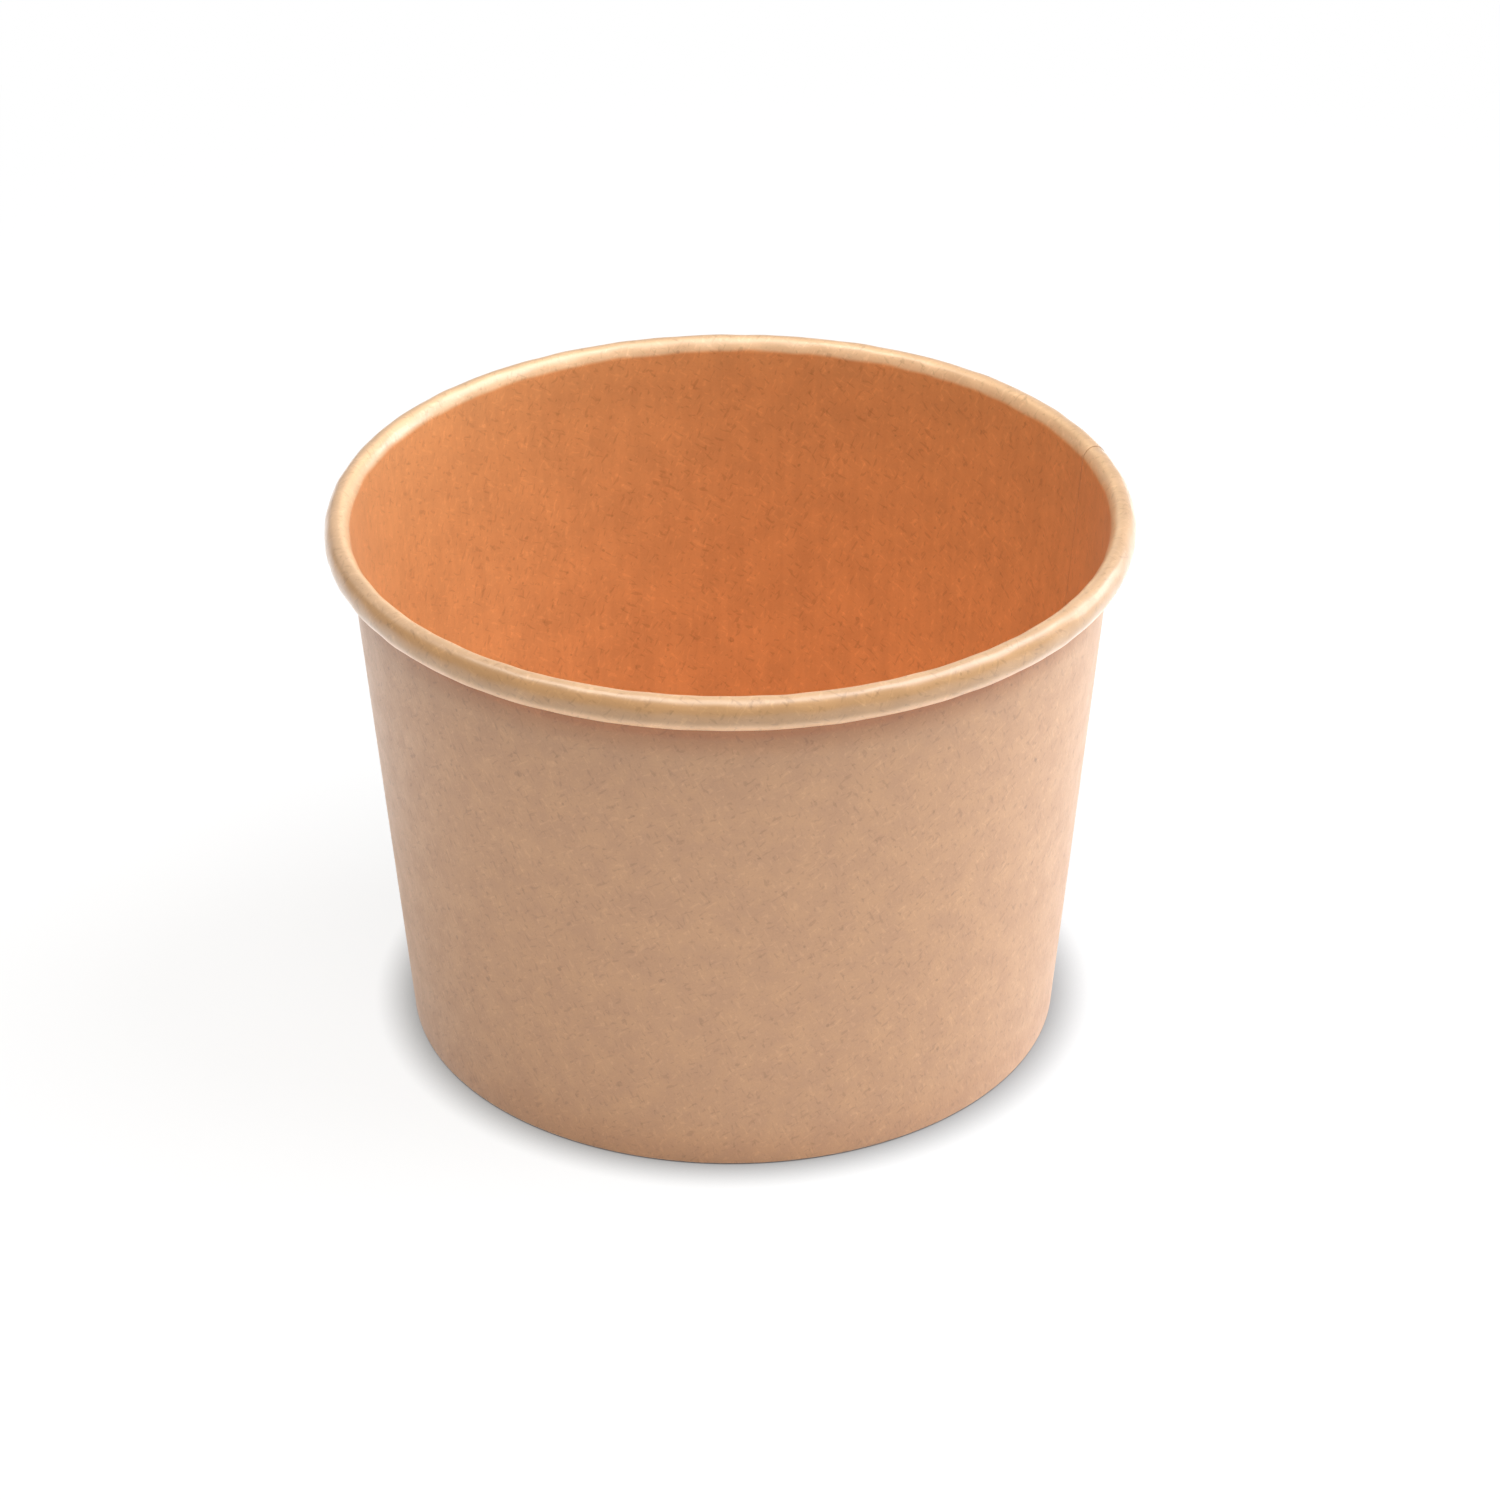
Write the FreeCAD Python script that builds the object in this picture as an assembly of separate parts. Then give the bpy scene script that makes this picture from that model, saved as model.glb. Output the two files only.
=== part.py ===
import FreeCAD, Part
import math
import os

# A round, tapered tub of kraft board with a rolled rim, made of two folded pieces of board.
# All sizes are in millimetres and degrees. The origin is the middle of the base on the table, +Z is up.

# Overall size
rim_diameter = 90.0       # outside of the rolled rim
base_diameter = 74.3      # outside of the wall at the table
tub_height = 63.0         # table to the top of the rolled rim

# Board
wall_board = 0.35         # thickness of the side wall's board
base_board = 0.30         # thickness of the base's board
seal_gap = 0.03           # coating between two sealed faces

# Rolled rim
flank_radius = 2.35       # curve of the roll's inner and outer sides
flank_angle = 41.0        # how far each side curves above and below the roll's middle
tuck_core = 0.17          # smallest radius left inside the tucked end
tuck_gap = 0.10           # between the wall's lap and the tucked end

# Bottom edge
floor_height = 6.5        # table to the underside of the floor
hem_height = 5.5          # table to the hem's free edge
fold_radius = 0.06        # inside of the hem's two creases
corner_radius = 0.8       # floor to skirt, on the product side
skirt_clearance = 0.3     # skirt's lower edge to the fold

# Side seam
seam_azimuth = 18.5       # where the inner cut edge stands, from +X towards +Y
seam_lap = 7.5            # overlap of the two edges, round the rim
seam_ramp = 2.4           # length over which the upper ply climbs onto the lower one, round the rim

# The wall leans so that it starts at base_diameter and runs smoothly into the roll.
flank = math.radians(flank_angle)
lap_boards = 2 * wall_board
tuck_radius = lap_boards + tuck_core
crown_radius = (lap_boards + tuck_gap + tuck_radius * (1 + math.cos(flank))
                - flank_radius * (1 - math.cos(flank))) / (2 * math.cos(flank))
roll_half_width = flank_radius - (flank_radius - crown_radius) * math.cos(flank)
roll_half_height = crown_radius + (flank_radius - crown_radius) * math.sin(flank)
flank_centre_r = rim_diameter / 2 - 2 * roll_half_width + flank_radius
flank_centre_z = tub_height - roll_half_height
centre_run = flank_centre_r - base_diameter / 2
lean = (math.acos((flank_radius - wall_board) / math.hypot(centre_run, flank_centre_z))
        - math.atan2(flank_centre_z, centre_run))
degrees_per_mm = 360 / (math.pi * rim_diameter)


class BoardPath:
    """The bent line of a board's product side, seen in section, r across and z up.

    The board lies to the right of the line. Each piece of it is a straight run or a bend."""

    def __init__(self, r, z, heading):
        self.r = r
        self.z = z
        self.heading = heading
        self.runs = []

    def straight(self, length):
        start = (self.r, self.z)
        self.r += length * math.cos(self.heading)
        self.z += length * math.sin(self.heading)
        self.runs.append(("straight", start, (self.r, self.z), self.heading))

    def bend(self, radius, angle):
        """Turns left by a positive angle and right by a negative one."""
        side = math.copysign(1, angle)
        centre_r = self.r - side * radius * math.sin(self.heading)
        centre_z = self.z + side * radius * math.cos(self.heading)
        first = self.heading
        self.heading += angle
        self.r = centre_r + side * radius * math.sin(self.heading)
        self.z = centre_z - side * radius * math.cos(self.heading)
        self.runs.append(("bend", (centre_r, centre_z), side, radius, first, self.heading))

    def edges(self, depth):
        """The same line at a depth into the board."""
        made = []
        for run in self.runs:
            if run[0] == "straight":
                kind, start, end, heading = run
                shift = (depth * math.sin(heading), -depth * math.cos(heading))
                made.append(Part.makeLine(section_point(start[0] + shift[0], start[1] + shift[1]),
                                          section_point(end[0] + shift[0], end[1] + shift[1])))
            else:
                kind, centre, side, radius, first, last = run
                reach = side * (radius + side * depth)
                turns = (first, (first + last) / 2, last)
                points = [section_point(centre[0] + reach * math.sin(turn),
                                        centre[1] - reach * math.cos(turn)) for turn in turns]
                made.append(Part.Arc(*points).toShape())
        return made

    def section(self, near, far):
        """The board's cut section between two depths, as a closed wire."""
        product_side = self.edges(near)
        other_side = self.edges(far)
        first_end = Part.makeLine(other_side[0].firstVertex().Point, product_side[0].firstVertex().Point)
        last_end = Part.makeLine(product_side[-1].lastVertex().Point, other_side[-1].lastVertex().Point)
        return Part.Wire(Part.__sortEdges__(product_side + [last_end] + other_side[::-1] + [first_end]))


def section_point(r, z):
    return FreeCAD.Vector(r, 0, z)


def turned(shape, degrees):
    copy = shape.copy()
    copy.rotate(FreeCAD.Vector(0, 0, 0), FreeCAD.Vector(0, 0, 1), degrees)
    return copy


def swept(section, start, sweep):
    """A section carried round the tub's axis."""
    face = turned(Part.Face(section), start)
    return face.revolve(FreeCAD.Vector(0, 0, 0), FreeCAD.Vector(0, 0, 1), sweep)


def wall_inside_radius(height):
    """Radius of the wall's product side."""
    return base_diameter / 2 + height * math.tan(lean) - wall_board / math.cos(lean)


def wall_path():
    """From the hem's free edge down, round the bottom fold, up the wall and round the roll."""
    crease_z = wall_board + fold_radius
    crease_r = wall_inside_radius(crease_z) - fold_radius / math.cos(lean)
    fold_run = (base_board + 2 * seal_gap - 2 * fold_radius) / math.cos(lean)
    hem_run = (hem_height - crease_z) / math.cos(lean)
    hem_r = crease_r - fold_run - fold_radius * math.cos(lean) + hem_run * math.sin(lean)
    hem_z = crease_z + fold_radius * math.sin(lean) + hem_run * math.cos(lean)
    wall_bottom = (crease_r + fold_radius * math.cos(lean), crease_z - fold_radius * math.sin(lean))
    wall_top = (flank_centre_r - flank_radius * math.cos(lean),
                flank_centre_z + flank_radius * math.sin(lean))

    path = BoardPath(hem_r, hem_z, -math.pi / 2 - lean)
    path.straight(hem_run)
    path.bend(fold_radius, math.pi / 2 + lean)
    path.straight(fold_run)
    path.bend(fold_radius, math.pi / 2 - lean)
    path.straight(math.dist(wall_bottom, wall_top))
    path.bend(flank_radius, lean - flank)
    path.bend(crown_radius, 2 * flank - math.pi)
    path.bend(flank_radius, -2 * flank)
    path.bend(tuck_radius, flank - math.pi)
    path.straight((flank_radius - tuck_radius) * math.sin(flank))
    return path


def base_path():
    """From the middle of the floor outwards and down the skirt, which lies along the wall."""
    corner_z = floor_height + base_board - corner_radius
    corner_r = wall_inside_radius(corner_z) - (corner_radius + seal_gap) / math.cos(lean)
    skirt_top = corner_z + corner_radius * math.sin(lean)
    path = BoardPath(0, floor_height + base_board, 0)
    path.straight(corner_r)
    path.bend(corner_radius, -math.pi / 2 - lean)
    path.straight((skirt_top - wall_board - skirt_clearance) / math.cos(lean))
    return path


def side_wall():
    """One sheet wrapped once round, with its end climbing onto its start to make the lap seam."""
    path = wall_path()
    single = path.section(0, wall_board)
    upper = path.section(wall_board, lap_boards)
    ramp = seam_ramp * degrees_per_mm
    lap = seam_lap * degrees_per_mm
    wrap = swept(single, seam_azimuth, 360 - ramp)
    climb = Part.makeLoft([turned(single, seam_azimuth - ramp), turned(upper, seam_azimuth)], True, True)
    over = swept(upper, seam_azimuth, lap)
    sheet = wrap.fuse([climb, over])
    # The lap's folded end is pressed level with the rest of the bottom edge.
    table = Part.makeBox(2 * rim_diameter, 2 * rim_diameter, lap_boards,
                         FreeCAD.Vector(-rim_diameter, -rim_diameter, -lap_boards))
    return sheet.cut(table).removeSplitter()


def base_disc():
    """The floor and its turned-down skirt, one disc of board."""
    return swept(base_path().section(0, base_board), 0, 360)


def write_part(name, shape):
    solid = shape.Solids[0]
    print(name, len(shape.Solids), "solid", solid.isValid(), round(solid.Volume, 1), "mm3")
    solid.exportStep("parts/" + name + ".step")


os.makedirs("parts", exist_ok=True)
write_part("side_wall", side_wall())
write_part("base_disc", base_disc())
print("wall lean", round(math.degrees(lean), 2), "roll", round(2 * roll_half_width, 2), "by",
      round(2 * roll_half_height, 2))
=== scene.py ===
import math

import bpy
import numpy as np
from mathutils import Matrix, Vector


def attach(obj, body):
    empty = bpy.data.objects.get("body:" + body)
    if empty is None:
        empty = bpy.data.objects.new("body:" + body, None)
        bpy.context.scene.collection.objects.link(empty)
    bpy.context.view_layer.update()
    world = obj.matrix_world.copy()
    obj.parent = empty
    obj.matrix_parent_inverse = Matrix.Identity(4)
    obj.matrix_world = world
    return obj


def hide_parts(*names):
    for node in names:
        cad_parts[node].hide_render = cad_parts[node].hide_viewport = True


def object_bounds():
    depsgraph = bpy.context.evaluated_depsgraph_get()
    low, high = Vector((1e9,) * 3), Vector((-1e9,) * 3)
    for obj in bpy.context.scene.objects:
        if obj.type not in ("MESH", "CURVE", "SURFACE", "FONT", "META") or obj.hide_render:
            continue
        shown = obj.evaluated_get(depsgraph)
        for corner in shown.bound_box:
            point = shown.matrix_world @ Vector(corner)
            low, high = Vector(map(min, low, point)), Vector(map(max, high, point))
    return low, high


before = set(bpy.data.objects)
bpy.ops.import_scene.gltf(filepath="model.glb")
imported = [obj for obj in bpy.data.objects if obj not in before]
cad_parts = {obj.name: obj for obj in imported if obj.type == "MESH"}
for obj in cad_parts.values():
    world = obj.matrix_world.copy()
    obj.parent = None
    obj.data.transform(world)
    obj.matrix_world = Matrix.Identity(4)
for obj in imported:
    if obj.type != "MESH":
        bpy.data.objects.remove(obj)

# A kraft paper ice cream tub: one wrapped sheet with a rolled rim, and a base disc held in its hem.
# Metres, +Z up, the middle of the base on the table at the origin.
mm = 0.001
fullTurn = 2 * math.pi
sharpFrom = math.radians(40)         # faces that meet at more than this are shaded as an edge
cadLow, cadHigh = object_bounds()
rimRadius = round(cadHigh.x, 4)
tubHeight = round(cadHigh.z, 4)

board = {
    "wall": 0.35 * mm,
    "base": 0.30 * mm,
    "footRadius": 37.15 * mm,        # outside of the wall at the table
    "sealGap": 0.03 * mm,
}


# Shape helpers

def bentLine(start, heading, runs):
    # Each run is (length, turn, samples), points at s along a line of constant curvature turn / length:
    # r = r0 + integral of cos(heading), z = z0 + integral of sin(heading). Columns: r, z, heading, s.
    r, z = start
    rows = []
    travelled = 0.0
    for length, turn, samples in runs:
        s = np.linspace(0, length, samples + 1)
        bend = turn / length
        angle = heading + bend * s
        if turn:
            rs = r + (np.sin(angle) - np.sin(heading)) / bend
            zs = z - (np.cos(angle) - np.cos(heading)) / bend
        else:
            rs = r + s * np.cos(heading)
            zs = z + s * np.sin(heading)
        rows.append(np.stack([rs, zs, angle, travelled + s], 1)[1 if rows else 0:])
        r, z = rs[-1], zs[-1]
        heading += turn
        travelled += length
    return np.concatenate(rows)


def smoothStep(low, high, x):
    # 0 below low, 1 above high, 3x^2 - 2x^3 between
    x = np.clip((x - low) / (high - low), 0, 1)
    return x * x * (3 - 2 * x)


def waves(angle, counts, sizes, seed):
    # Sum of size * sin(count * angle + phase) with fixed phases: a wobble that closes round the tub
    phases = np.random.default_rng(seed).uniform(0, fullTurn, len(counts))
    return sum(size * np.sin(count * angle + phase) for count, size, phase in zip(counts, sizes, phases))


def makeMesh(name, points, quads, slots, materials, boardUv):
    # Points and faces to a smooth mesh, with a material slot for each face and the board's own map, U round
    # the tub and V along the section, in metres
    mesh = bpy.data.meshes.new(name)
    mesh.from_pydata(points.reshape(-1, 3).tolist(), [], quads)
    for material in materials:
        mesh.materials.append(material)
    mesh.polygons.foreach_set("material_index", np.asarray(slots, np.int32))
    mesh.polygons.foreach_set("use_smooth", np.ones(len(quads), bool))
    corners = np.zeros(len(mesh.loops), np.int32)
    mesh.loops.foreach_get("vertex_index", corners)
    layer = mesh.uv_layers.new(name="boardMap")
    layer.data.foreach_set("uv", boardUv.reshape(-1, 2)[corners].ravel().astype(np.float32))
    mesh.set_sharp_from_angle(angle=sharpFrom)
    mesh.update()
    made = bpy.data.objects.new(name, mesh)
    bpy.context.scene.collection.objects.link(made)
    return made


# Material helpers

def addNode(tree, kind, values=None, **settings):
    # A node with its settings. A value that is another node's socket is linked, any other is set.
    node = tree.nodes.new(kind)
    for key, value in settings.items():
        setattr(node, key, value)
    for key, value in (values or {}).items():
        if isinstance(value, bpy.types.NodeSocket):
            tree.links.new(value, node.inputs[key])
        else:
            node.inputs[key].default_value = value
    return node


def mixColour(tree, share, first, second, blend="MIX"):
    # first * (1 - share) + second * share, or first times second by that share
    values = {0: share, 6: first, 7: second}
    return addNode(tree, "ShaderNodeMix", values, data_type="RGBA", blend_type=blend).outputs[2]


def mixShader(tree, share, first, second):
    return addNode(tree, "ShaderNodeMixShader", {0: share, 1: first, 2: second}).outputs[0]


def glow(tree, kind, strength):
    # Plain white at that strength, as an Emission or a Background
    return addNode(tree, kind, {"Color": (1, 1, 1, 1), "Strength": strength}).outputs[0]


def between(tree, value, low, high, toLow=0.0, toHigh=1.0):
    # toLow where the value is low, toHigh where it is high, an even S between
    values = {"Value": value, "From Min": low, "From Max": high, "To Min": toLow, "To Max": toHigh}
    return addNode(tree, "ShaderNodeMapRange", values, interpolation_type="SMOOTHSTEP").outputs[0]


def arithmetic(tree, operation, first, second):
    return addNode(tree, "ShaderNodeMath", {0: first, 1: second}, operation=operation).outputs[0]


def shade(colour, factor):
    return (*[channel * factor for channel in colour[:3]], 1.0)


kraft = {
    # what the four finishes share: sizes are cells per board millimetre, tones are shares of the colour,
    # and a range is where a pattern starts and where it is full
    "mottleRange": (0.3, 0.7),
    "grainRange": (0.35, 0.75),
    "grainTone": 0.6,
    "fibreTurns": (0.5, 2.1),        # radians, the two ways that the fibres lie
    "fibreSizes": (1.0, 0.9),        # each way's cells beside the finish's own fibreSize
    "fibreLength": 2.7,              # times their width
    "fibreCurl": 0.6,
    "fibreDarkRange": (0.62, 0.74),
    "fibreDarkTone": 0.55,
    "fibreLightRange": (0.38, 0.27),
    "fibreLightTone": 1.35,
    "streakSize": 0.9,
    "streakLength": 15,
    "streakRange": (0.35, 0.65),
    "streakTone": 0.8,
    "speckSize": 0.9,
    "speckRange": (0.765, 0.80),
    "speckTone": 0.35,
    "levelLength": 1000,             # so long that the pattern changes only round the tub
    "glossRange": (0.25, 0.75),
    "glossSpread": 0.04,
    "browning": (1.0, 1.12, 1.3),    # powers of a tone in red, green and blue: the darker, the browner
    "sheenRoughness": 0.5,
    "relief": 0.04 * mm,
}


def kraftBoard(name, look):
    # Kraft board on its own map in millimetres: the finish's colour with slow mottle, then by place along
    # the section its rim colours, partly painted light, and its bands of painted shade and painted
    # reflection, then fine grain, short fibres lying two ways and dark specks
    material = bpy.data.materials.new(name)
    material.use_nodes = True
    tree = material.node_tree
    shader = tree.nodes["Principled BSDF"]
    uv = addNode(tree, "ShaderNodeUVMap", uv_map="boardMap").outputs[0]
    place = addNode(tree, "ShaderNodeMapping", {"Vector": uv, "Scale": (1 / mm, 1 / mm, 1 / mm)}).outputs[0]

    def noise(vector, scale, detail=2.0, roughness=0.5, distortion=0.0):
        values = {"Vector": vector, "Scale": scale, "Detail": detail, "Roughness": roughness,
                  "Distortion": distortion}
        return addNode(tree, "ShaderNodeTexNoise", values).outputs[0]

    def laid(turn, length):
        # The board's plane turned, then drawn out to that length along its second axis
        values = {"Vector": place, "Rotation": (0, 0, turn), "Scale": (1.0, length, 1.0)}
        return addNode(tree, "ShaderNodeMapping", values, vector_type="TEXTURE").outputs[0]

    def tinted(share, tone, factor):
        # The tone times factor to the power of each channel's browning, by that share
        tint = [factor ** power for power in kraft["browning"]]
        return mixColour(tree, share, tone, (*tint, 1.0), "MULTIPLY")

    def mottled(colour):
        # Darker and redder where the cloud is thin, paler and yellower where it is thick
        red, green, blue = shade(colour, 1 - look["mottle"])[:3]
        thin = (red, green, blue * (1 + look["hueDrift"]), 1.0)
        thick = shade(colour, 1 + look["mottle"])
        return mixColour(tree, between(tree, cloud, *kraft["mottleRange"]), thin, thick)

    along = addNode(tree, "ShaderNodeSeparateXYZ", {0: place}).outputs[1]
    cloud = noise(place, look["mottleSize"], 4.0, 0.6)
    grain = noise(place, look["grainSize"], 2.0, 0.6)
    tone = mottled(look["colour"])
    if "streak" in look:
        streak = noise(laid(0, kraft["streakLength"]), kraft["streakSize"])
        share = between(tree, streak, *kraft["streakRange"], 0, look["streak"])
        tone = tinted(share, tone, kraft["streakTone"])
    if "rimColour" in look:
        # The coated side's orange gives way to the roll's paler colours a little below the top of the roll,
        # along a slightly wandering line. These are partly the roll's own colour and partly painted light:
        # the roll's inner side is painted brighter where it faces away from the lamps, and the crown's pale
        # colour runs on down the outer side as a painted highlight before the browner outer side.
        wander = noise(laid(0, kraft["levelLength"]), look["rimWander"], 1.0)
        edge = arithmetic(tree, "MULTIPLY_ADD", wander, look["rimWanderDepth"])
        edge.node.inputs[2].default_value = look["rimStart"] - 0.5 * look["rimWanderDepth"]
        past = arithmetic(tree, "SUBTRACT", along, edge)
        rimTone = mixColour(tree, between(tree, along, *look["rollInsideAndPaintedLightTo"]), mottled(look["rollInsideAndPaintedLight"]),
                            mottled(look["crownAndPaintedHighlight"]))
        rimTone = mixColour(tree, between(tree, along, *look["crownAndPaintedHighlightTo"]), rimTone,
                            mottled(look["rimColour"]))
        tone = mixColour(tree, between(tree, past, -look["rimFade"], look["rimFade"]), tone, rimTone)
    # Painted light and shade: each band multiplies the tone by its colour along the section
    for start, full, tint in look["paintedLightAndShade"]:
        tone = mixColour(tree, between(tree, along, start, full), tone, (*tint, 1.0), "MULTIPLY")
    tone = tinted(between(tree, grain, *kraft["grainRange"], 0, look["grain"]), tone, kraft["grainTone"])
    fibres = []
    for turn, size in zip(kraft["fibreTurns"], kraft["fibreSizes"]):
        lying = laid(turn, kraft["fibreLength"])
        fibre = noise(lying, look["fibreSize"] * size, 1.0, 0.4, kraft["fibreCurl"])
        dark = between(tree, fibre, *kraft["fibreDarkRange"], 0, look["fibreDark"])
        light = between(tree, fibre, *kraft["fibreLightRange"], 0, look["fibreLight"])
        tone = tinted(light, tinted(dark, tone, kraft["fibreDarkTone"]), kraft["fibreLightTone"])
        fibres.append(fibre)
    speck = noise(place, kraft["speckSize"], 1.0, 0.3)
    tone = tinted(between(tree, speck, *kraft["speckRange"], 0, look["speck"]), tone, kraft["speckTone"])
    dull = look["roughness"] + kraft["glossSpread"]
    glossy = look["roughness"] - kraft["glossSpread"]
    height = arithmetic(tree, "ADD", grain, fibres[0])
    values = {"Height": height, "Strength": look["bump"], "Distance": kraft["relief"]}
    relief = addNode(tree, "ShaderNodeBump", values).outputs[0]
    tree.links.new(tone, shader.inputs["Base Color"])
    tree.links.new(between(tree, cloud, *kraft["glossRange"], dull, glossy), shader.inputs["Roughness"])
    tree.links.new(relief, shader.inputs["Normal"])
    shader.inputs["IOR"].default_value = look["ior"]
    shader.inputs["Specular IOR Level"].default_value = look["specular"]
    shader.inputs["Sheen Weight"].default_value = look["sheen"]
    shader.inputs["Sheen Roughness"].default_value = kraft["sheenRoughness"]
    shader.inputs["Coat Weight"].default_value = look["coat"]
    shader.inputs["Coat Roughness"].default_value = look["coatRoughness"]
    return material


# The side wall

wall = {
    "flankRadius": 2.35 * mm,        # curve of the roll's inner and outer sides
    "flankAngle": math.radians(41),  # how far each side curves above and below the roll's middle
    "tuckCore": 0.17 * mm,           # smallest radius left inside the tucked end
    "tuckGap": 0.10 * mm,            # between the wall's lap and the tucked end
    "hemHeight": 5.5 * mm,
    "foldRadius": 0.06 * mm,
    "seamAzimuth": math.radians(18.5),
    "lap": 7.5 * mm,
    "ramp": 2.4 * mm,                # over which the upper ply climbs onto the lower one
    "pressed": 0.6,                  # share of its thickness that each ply keeps in the pressed lap
    "pressedEdge": 0.08,             # and at the inner ply's cut edge, in the wall
    "pressedRimEdge": 0.25,          # and in the roll
    "pressedRimFrom": (2.5 * mm, 0.8 * mm),   # where the one gives way to the other, below the top
    "plyGap": 0.004 * mm,
    "liftTo": (0.4 * mm, 3.0 * mm),  # the two plies are lifted at the foot, up to these heights
    "around": 480,                   # columns once round, and columns through the lap
    "throughLap": 13,
    "ribs": 80,                      # knurl lines pressed into the hem
    "ribDepth": 0.12 * mm,
    "ribEase": (0.8 * mm, 1.0 * mm),          # left plain at the hem's free edge and above its fold
    "paleFrom": 1.4 * mm,            # the inside's colour ends this far below the top of the roll
    # slow unevenness of the roll: how many round the tub, and height. It starts this far below the top.
    "wobble": [(3, 30e-6), (5, 25e-6), (8, 18e-6), (17, 10e-6), (29, 8e-6), (43, 7e-6)],
    "wobbleSeed": 4,
    "wobbleFrom": (7 * mm, 2 * mm),
    # small slanting creases in the roll: how many round the tub, slant per metre, height
    "creases": [(31, 2100, 16e-6), (47, -1700, 14e-6), (67, 1300, 10e-6)],
    "creaseEase": (1.0 * mm, 1.5 * mm),
}


def wallLine():
    # From the hem's free edge down, round the bottom fold, up the wall and round the roll to its tucked
    # end. Also the wall's lean, and the row at which each named run of the line starts.
    t = board["wall"]
    gap = board["base"] + 2 * board["sealGap"]
    side, angle = wall["flankRadius"], wall["flankAngle"]
    tuck = 2 * t + wall["tuckCore"]
    crown = ((2 * t + wall["tuckGap"] + tuck * (1 + math.cos(angle)) - side * (1 - math.cos(angle)))
             / (2 * math.cos(angle)))
    halfWidth = side - (side - crown) * math.cos(angle)
    halfHeight = crown + (side - crown) * math.sin(angle)
    centreR = rimRadius - 2 * halfWidth + side
    centreZ = tubHeight - halfHeight
    across = centreR - board["footRadius"]
    lean = math.acos((side - t) / math.hypot(across, centreZ)) - math.atan2(centreZ, across)
    fold = wall["foldRadius"]
    creaseZ = t + fold
    creaseR = board["footRadius"] + creaseZ * math.tan(lean) - (t + fold) / math.cos(lean)
    flat = (gap - 2 * fold) / math.cos(lean)
    hemRun = (wall["hemHeight"] - creaseZ) / math.cos(lean)
    hemEnd = (creaseR - flat - fold * math.cos(lean) + hemRun * math.sin(lean),
              creaseZ + fold * math.sin(lean) + hemRun * math.cos(lean))
    wallFoot = (creaseR + fold * math.cos(lean), creaseZ - fold * math.sin(lean))
    wallTop = (centreR - side * math.cos(lean), centreZ + side * math.sin(lean))
    runs = {
        "hem": (hemRun, 0, 8),
        "innerFold": (fold * (math.pi / 2 + lean), math.pi / 2 + lean, 4),
        "bottom": (flat, 0, 1),
        "outerFold": (fold * (math.pi / 2 - lean), math.pi / 2 - lean, 4),
        "wall": (math.dist(wallFoot, wallTop), 0, 18),
        "innerFlank": (side * (angle - lean), lean - angle, 7),
        "crown": (crown * (math.pi - 2 * angle), 2 * angle - math.pi, 14),
        "outerFlank": (side * 2 * angle, -2 * angle, 14),
        "tuck": (tuck * (math.pi - angle), angle - math.pi, 16),
        "tuckEnd": ((side - tuck) * math.sin(angle), 0, 3),
    }
    starts = np.cumsum([0] + [samples for length, turn, samples in runs.values()])
    return bentLine(hemEnd, -math.pi / 2 - lean, runs.values()), lean, dict(zip(runs, starts.tolist()))


def wallSheet(line, rowOf):
    # Point(u, v, side) = the board's line at u, moved by depth(v) into the board, turned by v about the
    # axis. v runs once round and on through the lap, where the sheet has climbed onto its own start.
    t = board["wall"]
    lapTurn = wall["lap"] / rimRadius
    rampTurn = wall["ramp"] / rimRadius
    v = np.concatenate([np.linspace(0, fullTurn, wall["around"], endpoint=False),
                        fullTurn + np.linspace(0, lapTurn, wall["throughLap"])])
    turned = v + wall["seamAzimuth"]
    r, z, heading, run = (line[:, k][:, None] for k in range(4))
    belowTop = tubHeight - z

    # Thickness and depth of the sheet, pressed where it lies double
    climb = smoothStep(fullTurn - rampTurn, fullTurn, v)
    under = 1 - smoothStep(lapTurn, lapTurn + rampTurn, v)
    fromEdge = np.where(v < fullTurn / 2, v, np.maximum(v - fullTurn, 0))
    edge = wall["pressedRimEdge"] + ((wall["pressedEdge"] - wall["pressedRimEdge"])
                                     * smoothStep(*wall["pressedRimFrom"][::-1], belowTop))
    crushed = edge + (wall["pressed"] - edge) * smoothStep(0, rampTurn, fromEdge)
    thick = t * (1 - (1 - wall["pressed"]) * climb)
    thick = np.where(under > 0, t * (1 - (1 - crushed) * under), thick)
    depth = climb * (t * crushed + wall["plyGap"])

    # Where two plies are folded together, both are lifted so that the lap's foot stays on the table
    foot = 1 - smoothStep(*wall["liftTo"], z)
    lift = foot * (np.maximum(climb, under) * (t * (2 * wall["pressed"] - 1) + wall["plyGap"]))

    # The hand of the machine: each is moved inwards by its own highest point, so nothing leaves the size
    counts, sizes = zip(*wall["wobble"])
    wobble = waves(turned, counts, sizes, wall["wobbleSeed"])
    rolled = 1 - smoothStep(*wall["wobbleFrom"][::-1], belowTop)
    wobble = rolled * (wobble - wobble.max())
    rollStart, rollEnd = line[rowOf["innerFlank"], 3], line[rowOf["tuck"], 3]
    before, after = wall["creaseEase"]
    rolledRun = (smoothStep(rollStart - before, rollStart + after, run)
                 * (1 - smoothStep(rollEnd, rollEnd + before, run)))
    crease = sum(size * np.sin(count * turned + slant * run) for count, slant, size in wall["creases"])
    crease = rolledRun * (crease - crease.max())
    edgeEase, foldEase = wall["ribEase"]
    hem = (run < wall["hemHeight"] - foldEase) * smoothStep(0, edgeEase, run)
    rib = hem * wall["ribDepth"] * np.sin(wall["ribs"] * turned / 2) ** 4

    grids = []
    for side in (0, 1):
        inward = depth + side * (thick - rib) - crease
        across = r + inward * np.sin(heading) + wobble
        up = z - inward * np.cos(heading) + lift
        grids.append(np.stack([across * np.cos(turned), across * np.sin(turned), up], -1))
    return np.array(grids), v


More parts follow.
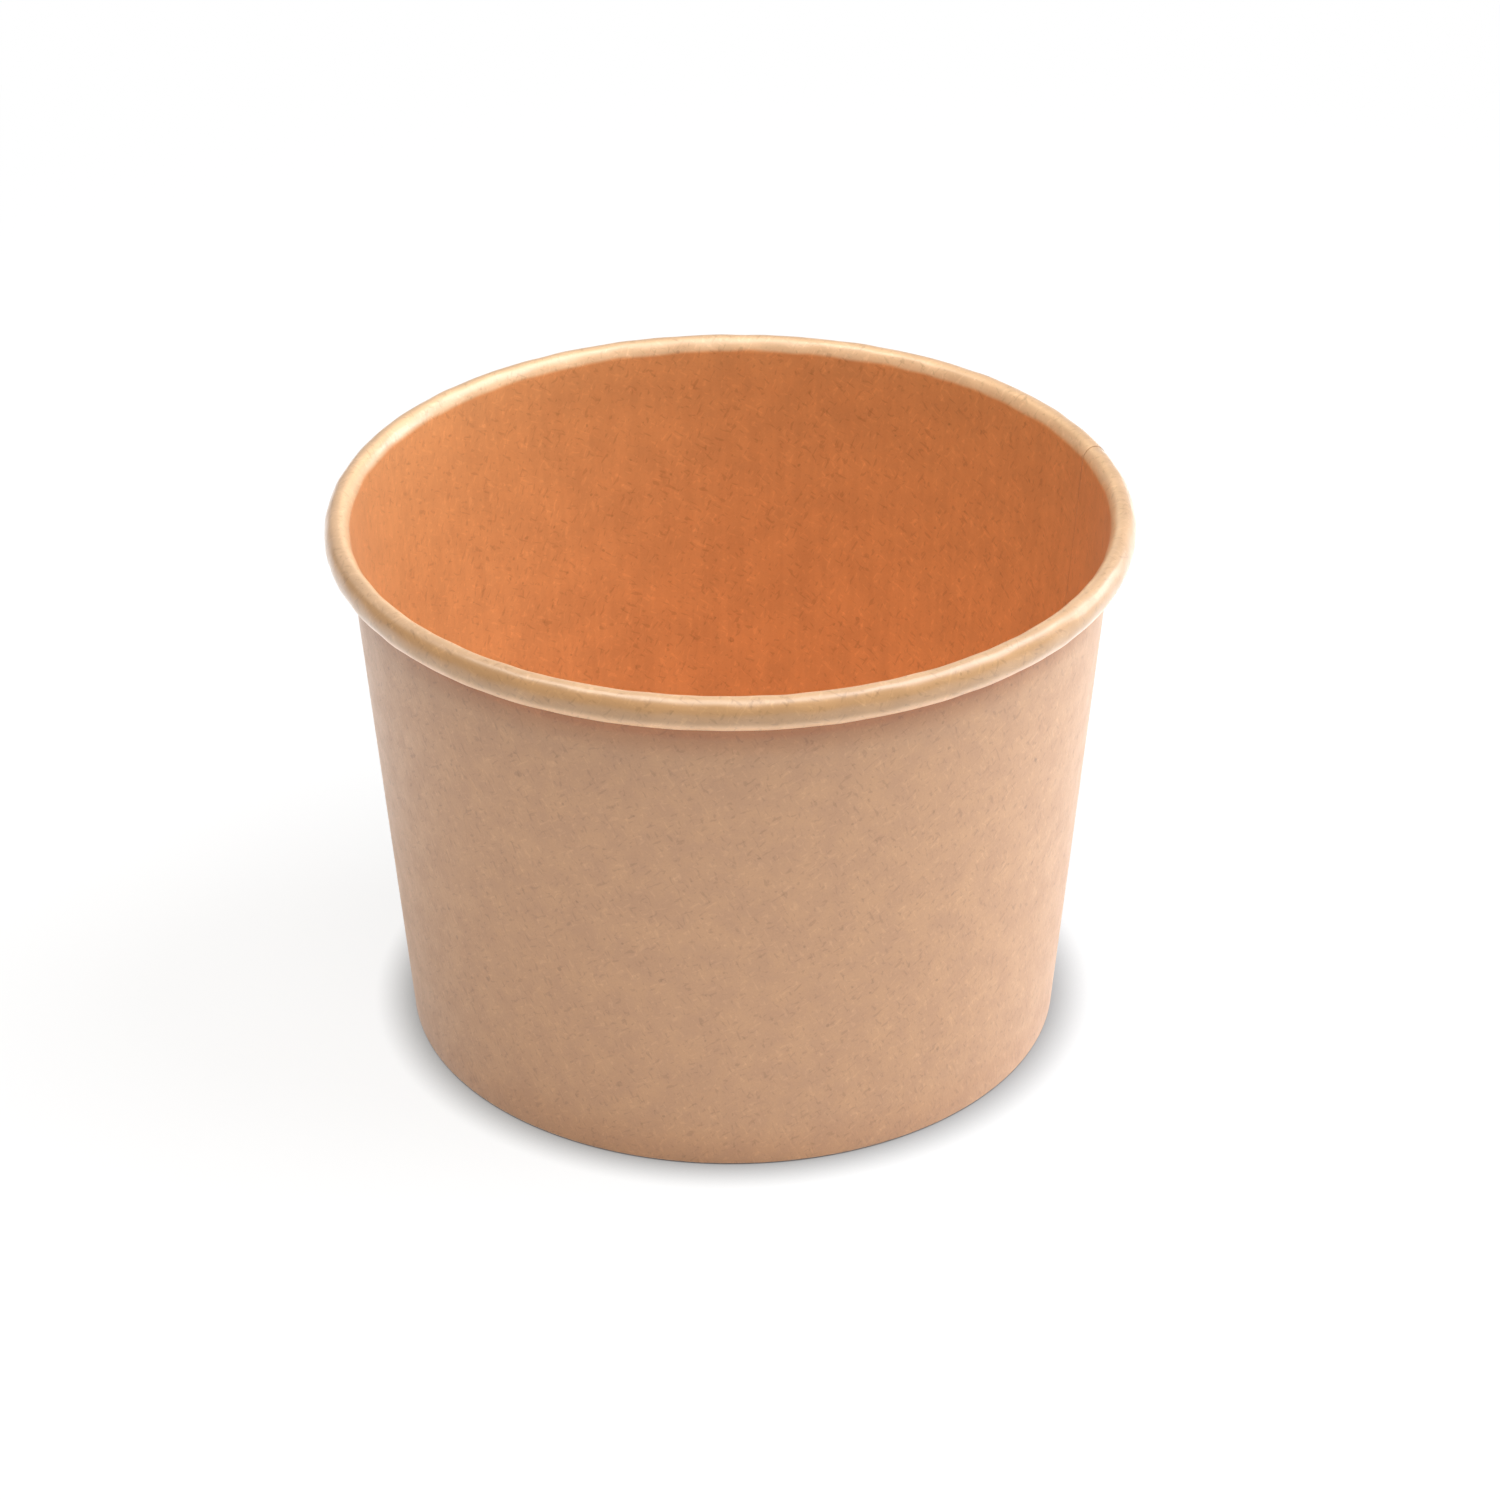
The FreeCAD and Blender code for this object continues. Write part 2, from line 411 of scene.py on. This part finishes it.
def closedSheet(name, grids, boardUv, materials):
    # Two grids of the same size as the two faces of a sheet, with a strip along each of its four edges
    rows, columns = grids.shape[1:3]
    a, b = np.arange(rows - 1), np.arange(columns - 1)
    i, j = (index.ravel() for index in np.meshgrid(a, b, indexing="ij"))
    end, last = rows - 1, columns - 1

    def corner(side, row, column):
        return (side * rows + row) * columns + column

    def faces(*corners):
        # Each corner is (side, row, column)
        return np.stack([corner(*place) for place in corners], 1)

    product = faces((0, i, j), (0, i + 1, j), (0, i + 1, j + 1), (0, i, j + 1))
    other = faces((1, i, j), (1, i, j + 1), (1, i + 1, j + 1), (1, i + 1, j))
    strips = np.concatenate([
        faces((0, 0, b), (0, 0, b + 1), (1, 0, b + 1), (1, 0, b)),
        faces((0, end, b), (1, end, b), (1, end, b + 1), (0, end, b + 1)),
        faces((0, a, 0), (1, a, 0), (1, a + 1, 0), (0, a + 1, 0)),
        faces((0, a, last), (0, a + 1, last), (1, a + 1, last), (1, a, last))])
    quads = np.concatenate([product, other, strips])
    slots = np.repeat([0, 1, 2], [len(product), len(other), len(strips)])
    return makeMesh(name, grids, quads.tolist(), slots, materials, boardUv)


line, lean, rowOf = wallLine()


def runAt(height):
    # Board millimetres from the hem's edge to that height on the wall or the roll's inner side
    rising = line[rowOf["wall"]:rowOf["crown"] + 1]
    return float(np.interp(height, rising[:, 1], rising[:, 3])) / mm


def crownRun(normal):
    # Board millimetres to where the top of the roll faces that many degrees from the outward level
    share = (math.pi - wall["flankAngle"] - math.radians(normal)) / (math.pi - 2 * wall["flankAngle"])
    start, end = line[rowOf["crown"], 3], line[rowOf["outerFlank"], 3]
    return float(start + share * (end - start)) / mm


def flankRun(normal):
    # Board millimetres to where the roll's outer side faces that many degrees above the horizon
    turn = wall["flankAngle"] - math.radians(normal)
    return float(line[rowOf["outerFlank"], 3] + wall["flankRadius"] * turn) / mm


# A place along the board is (starts, is full) in board millimetres, a tint of painted light and shade is
# (starts, is full, colour).
outsideLook = {
    "colour": (0.496, 0.265, 0.128), "mottle": 0.055, "hueDrift": 0.06, "mottleSize": 0.26,
    "grain": 0.15, "grainSize": 4.0,
    "fibreDark": 0.34, "fibreLight": 0.26, "fibreSize": 2.3,
    "speck": 0.35, "roughness": 0.44, "ior": 1.5, "specular": 0.62, "sheen": 0.03,
    "coat": 0.0, "coatRoughness": 0.4, "bump": 0.5,
    # warm shade under the rolled rim, twice, and at the foot
    "paintedLightAndShade": [(runAt(54 * mm), runAt(57.6 * mm), (0.88, 0.73, 0.56)),
              (runAt(56.8 * mm), runAt(57.8 * mm), (0.97, 0.81, 0.66)),
              (runAt(7 * mm), runAt(0.5 * mm), (0.97, 0.92, 0.86))],
}
insideLook = {
    "colour": (0.655, 0.284, 0.102), "mottle": 0.065, "hueDrift": 0.0, "mottleSize": 0.18,
    "grain": 0.10, "grainSize": 3.5,
    # Painted light on the roll: its inner side is painted brighter where it faces away from the lamps, and
    # the crown's pale colour is a painted highlight that reaches down the outer side to where it faces 34 to
    # 48 degrees up.
    "rollInsideAndPaintedLight": (0.660, 0.425, 0.235), "crownAndPaintedHighlight": (0.490, 0.306, 0.172), "rimColour": (0.445, 0.245, 0.104),
    "rollInsideAndPaintedLightTo": (crownRun(125), crownRun(85)),
    "crownAndPaintedHighlightTo": (flankRun(48), flankRun(34)),
    "rimStart": runAt(tubHeight - wall["paleFrom"]), "rimFade": 0.26,
    "rimWander": 0.16, "rimWanderDepth": 0.9,
    "streak": 0.25,
    "fibreDark": 0.36, "fibreLight": 0.28, "fibreSize": 2.1,
    "speck": 0.35, "roughness": 0.5, "ior": 1.5, "specular": 0.3, "sheen": 0.04,
    "coat": 0.9, "coatRoughness": 0.28, "bump": 0.25,
    # painted reflection: the roll's lower shoulder is painted pale, as the bright floor's reflection, and
    # past it the second tint takes the first one back
    "paintedLightAndShade": [(flankRun(-8), flankRun(-40), (1.75, 1.87, 2.3)),
              (flankRun(-50), flankRun(-80), (0.57, 0.53, 0.43))],
}
edgeLook = dict(outsideLook, colour=(0.56, 0.36, 0.22), mottle=0.06, bump=0.8, paintedLightAndShade=[])

coatedKraft = kraftBoard("coatedKraft", insideLook)
plainKraft = kraftBoard("plainKraft", outsideLook)
cutKraft = kraftBoard("cutKraft", edgeLook)
discKraft = kraftBoard("discKraft", dict(outsideLook, paintedLightAndShade=[]))
print("four board finishes made")

wallGrids, aroundTurn = wallSheet(line, rowOf)
runAlong = line[:, 3][:, None] + 0 * aroundTurn
wallUv = np.stack([np.stack([(aroundTurn * rimRadius)[None, :] + 0 * runAlong, runAlong], -1)] * 2)
wallPiece = closedSheet("side_wall_sheet", wallGrids, wallUv, [coatedKraft, plainKraft, cutKraft])
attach(wallPiece, "root")
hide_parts("side_wall")
print("side wall:", len(wallPiece.data.polygons), "quads, lean", round(math.degrees(lean), 2), "degrees")


# The base disc

base = {
    "floorTop": 6.8 * mm,
    "corner": 0.8 * mm,              # bend from the floor to the skirt
    "skirtClear": 0.45 * mm,         # skirt's lower edge to the fold
    "poleRadius": 1.0 * mm,          # the fan in the middle of the floor
    "around": 240,
}


def baseLine():
    # From beside the middle of the floor outwards and down the skirt
    cornerZ = base["floorTop"] - base["corner"]
    inside = board["footRadius"] + cornerZ * math.tan(lean) - board["wall"] / math.cos(lean)
    cornerR = inside - (base["corner"] + board["sealGap"]) / math.cos(lean)
    skirtTop = cornerZ + base["corner"] * math.sin(lean)
    skirt = (skirtTop - board["wall"] - base["skirtClear"]) / math.cos(lean)
    runs = [
        (cornerR - base["poleRadius"], 0, 24),
        (base["corner"] * (math.pi / 2 + lean), -math.pi / 2 - lean, 10),
        (skirt, 0, 6),
    ]
    return bentLine((base["poleRadius"], base["floorTop"]), 0, runs)


def discGrids(path):
    # Point(u, v, side) = the floor's line at u, moved one board down on its other side, turned by v
    turn = np.linspace(0, fullTurn, base["around"], endpoint=False)
    grids = []
    for depth in (0, board["base"]):
        r = (path[:, 0] + depth * np.sin(path[:, 2]))[:, None]
        z = (path[:, 1] - depth * np.cos(path[:, 2]))[:, None]
        grids.append(np.stack([r * np.cos(turn), r * np.sin(turn), z + 0 * turn], -1))
    return np.array(grids)


def closedDisc(name, grids, materials):
    # Two grids closed round the axis, joined by a strip at their outer edge and by a fan to each pole
    rows, columns = grids.shape[1:3]
    size = rows * columns
    b = np.arange(columns)
    c = (b + 1) % columns
    i, j = (index.ravel() for index in np.meshgrid(np.arange(rows - 1), b, indexing="ij"))
    k = (j + 1) % columns
    near, far = i * columns, (i + 1) * columns
    top = np.stack([near + j, far + j, far + k, near + k], 1)
    under = size + np.stack([near + j, near + k, far + k, far + j], 1)
    end = (rows - 1) * columns
    strip = np.stack([end + b, size + end + b, size + end + c, end + c], 1)
    topFan = np.stack([0 * b + 2 * size, b, c], 1)
    underFan = np.stack([0 * b + 2 * size + 1, size + c, size + b], 1)
    faces = sum((part.tolist() for part in (top, under, strip, topFan, underFan)), [])
    slots = np.repeat([0, 1, 2, 0, 1], [len(top), len(under), len(strip), columns, columns])
    poles = [[0, 0, grids[side, 0, 0, 2]] for side in (0, 1)]
    points = np.concatenate([grids.reshape(-1, 3), poles])
    return makeMesh(name, points, faces, slots, materials, points[:, :2])


basePiece = closedDisc("base_disc_board", discGrids(baseLine()), [coatedKraft, discKraft, cutKraft])
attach(basePiece, "root")
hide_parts("base_disc")
print("base disc:", len(basePiece.data.polygons), "faces")


# Floor, light and camera

studio = {
    "floorRadius": 4.0,
    "floorCorners": 96,
    "floorDrop": 0.02 * mm,          # below the table's height
    "floorColour": (0.8, 0.8, 0.8, 1),
    "floorShown": 0.82,              # share of plain white, shaded close to the tub, that the camera sees
    "floorNear": (0.08, 0.30),       # that share grows to all of it between these distances from the axis
    "contactReach": 4.8 * mm,        # how far from the tub that shade reaches
    "contactPower": 1.3,
    "floorVeil": 0.40,               # white that glossy rays see on the floor beside the lamps' light
    "airLight": 0.05,
    "airGloss": 0.45,
    "airShown": 1.0,
    "aim": (0, 0, 0.035),
}
lamps = {
    # name: azimuth from +X towards +Y, elevation, distance, width, watts, colour
    "keyLamp": (0, 50, 0.9, 0.80, 8.8, (0.95, 1.02, 1.10)),
    "lowLamp": (25, 12, 0.9, 0.45, 3.3, (0.97, 1.00, 1.04)),
    "leftLamp": (183, 66, 0.9, 0.50, 3.0, (1.05, 0.98, 0.88)),
    "frontLamp": (272, 60, 0.9, 0.60, 2.3, (1.04, 0.99, 0.92)),
    "topLamp": (270, 78, 0.9, 0.80, 3.8, (1.00, 1.00, 1.00)),
}


def makeFloor():
    # A flat disc under the table's height. The camera sees a share of its lamplight and, for the rest,
    # white that is darkened by the share of the sky that the tub hides within a short reach. Farther off it
    # sees only white. Glossy rays see the lamplight and a plain veil of white.
    turn = np.linspace(0, fullTurn, studio["floorCorners"], endpoint=False)
    ring = np.stack([np.cos(turn), np.sin(turn), 0 * turn], 1) * studio["floorRadius"]
    ring[:, 2] = -studio["floorDrop"]
    mesh = bpy.data.meshes.new("floor")
    mesh.from_pydata(ring.tolist(), [], [list(range(studio["floorCorners"]))])
    floor = bpy.data.objects.new("floor", mesh)
    bpy.context.scene.collection.objects.link(floor)
    material = bpy.data.materials.new("paleFloor")
    material.use_nodes = True
    tree = material.node_tree
    tree.nodes.remove(tree.nodes["Principled BSDF"])
    lit = addNode(tree, "ShaderNodeBsdfDiffuse", {"Color": studio["floorColour"]}).outputs[0]
    veil = glow(tree, "ShaderNodeEmission", studio["floorVeil"])
    openSky = addNode(tree, "ShaderNodeAmbientOcclusion", {"Distance": studio["contactReach"]}).outputs["AO"]
    white = glow(tree, "ShaderNodeEmission", arithmetic(tree, "POWER", openSky, studio["contactPower"]))
    place = addNode(tree, "ShaderNodeTexCoord").outputs["Object"]
    away = addNode(tree, "ShaderNodeVectorMath", {0: place}, operation="LENGTH").outputs["Value"]
    share = between(tree, away, *studio["floorNear"], studio["floorShown"], 1.0)
    toCamera = mixShader(tree, share, lit, white)
    toGloss = addNode(tree, "ShaderNodeAddShader", {0: lit, 1: veil}).outputs[0]
    path = addNode(tree, "ShaderNodeLightPath").outputs
    unseen = mixShader(tree, path["Is Glossy Ray"], lit, toGloss)
    shown = mixShader(tree, path["Is Camera Ray"], unseen, toCamera)
    tree.links.new(shown, tree.nodes["Material Output"].inputs["Surface"])
    mesh.materials.append(material)


def makeAir():
    # White to the camera, and a plain dimmer white to glossy rays and as light
    world = bpy.data.worlds.new("studioAir")
    bpy.context.scene.world = world
    world.use_nodes = True
    tree = world.node_tree
    light, gloss, shown = (glow(tree, "ShaderNodeBackground", studio[name])
                           for name in ("airLight", "airGloss", "airShown"))
    path = addNode(tree, "ShaderNodeLightPath").outputs
    unseen = mixShader(tree, path["Is Glossy Ray"], light, gloss)
    both = mixShader(tree, path["Is Camera Ray"], unseen, shown)
    tree.links.new(both, tree.nodes["World Output"].inputs["Surface"])


def makeLamp(name, azimuth, elevation, distance, width, watts, colour):
    # A round area lamp at aim + distance * the direction of azimuth and elevation, turned back to the aim
    a, e = math.radians(azimuth), math.radians(elevation)
    reach = Vector((math.cos(e) * math.cos(a), math.cos(e) * math.sin(a), math.sin(e))) * distance
    data = bpy.data.lights.new(name, "AREA")
    data.shape = "DISK"
    data.size = width
    data.energy = watts
    data.color = colour
    lamp = bpy.data.objects.new(name, data)
    bpy.context.scene.collection.objects.link(lamp)
    lamp.location = Vector(studio["aim"]) + reach
    lamp.rotation_mode = "QUATERNION"
    lamp.rotation_quaternion = (-reach).to_track_quat("-Z", "Y")


shot = {
    "imageWidth": 1500,              # pixels of the photograph
    "focalPixels": 4859.2,
    "sensorWidth": 36,
    "clip": (0.01, 20),
    "distance": 0.5700,
    "elevation": math.radians(32.9036),
    "pan": math.radians(0.2146),
    "tilt": math.radians(2.7308),
    "roll": math.radians(-0.3594),
}


def makeCamera():
    # Aimed at the middle of the foot, then panned, tilted and rolled about its own axes
    place = np.array([0, -math.cos(shot["elevation"]), math.sin(shot["elevation"])]) * shot["distance"]
    ahead = -place / shot["distance"]
    right = np.array([1.0, 0, 0])
    above = np.cross(right, ahead)

    def turnPair(first, second, angle):
        c, s = math.cos(angle), math.sin(angle)
        return c * first + s * second, c * second - s * first

    ahead, right = turnPair(ahead, right, shot["pan"])
    ahead, above = turnPair(ahead, above, shot["tilt"])
    right, above = turnPair(right, above, shot["roll"])
    data = bpy.data.cameras.new("camera")
    data.sensor_width = shot["sensorWidth"]
    data.lens = data.sensor_width * shot["focalPixels"] / shot["imageWidth"]
    data.clip_start, data.clip_end = shot["clip"]
    camera = bpy.data.objects.new("camera", data)
    bpy.context.scene.collection.objects.link(camera)
    turn = Matrix([[right[k], above[k], -ahead[k]] for k in range(3)])
    camera.matrix_world = Matrix.Translation(place.tolist()) @ turn.to_4x4()
    bpy.context.scene.camera = camera


makeFloor()
makeAir()
for name, facts in lamps.items():
    makeLamp(name, *facts)
makeCamera()
bpy.context.scene.view_settings.view_transform = "Standard"
print("floor, light and camera made")
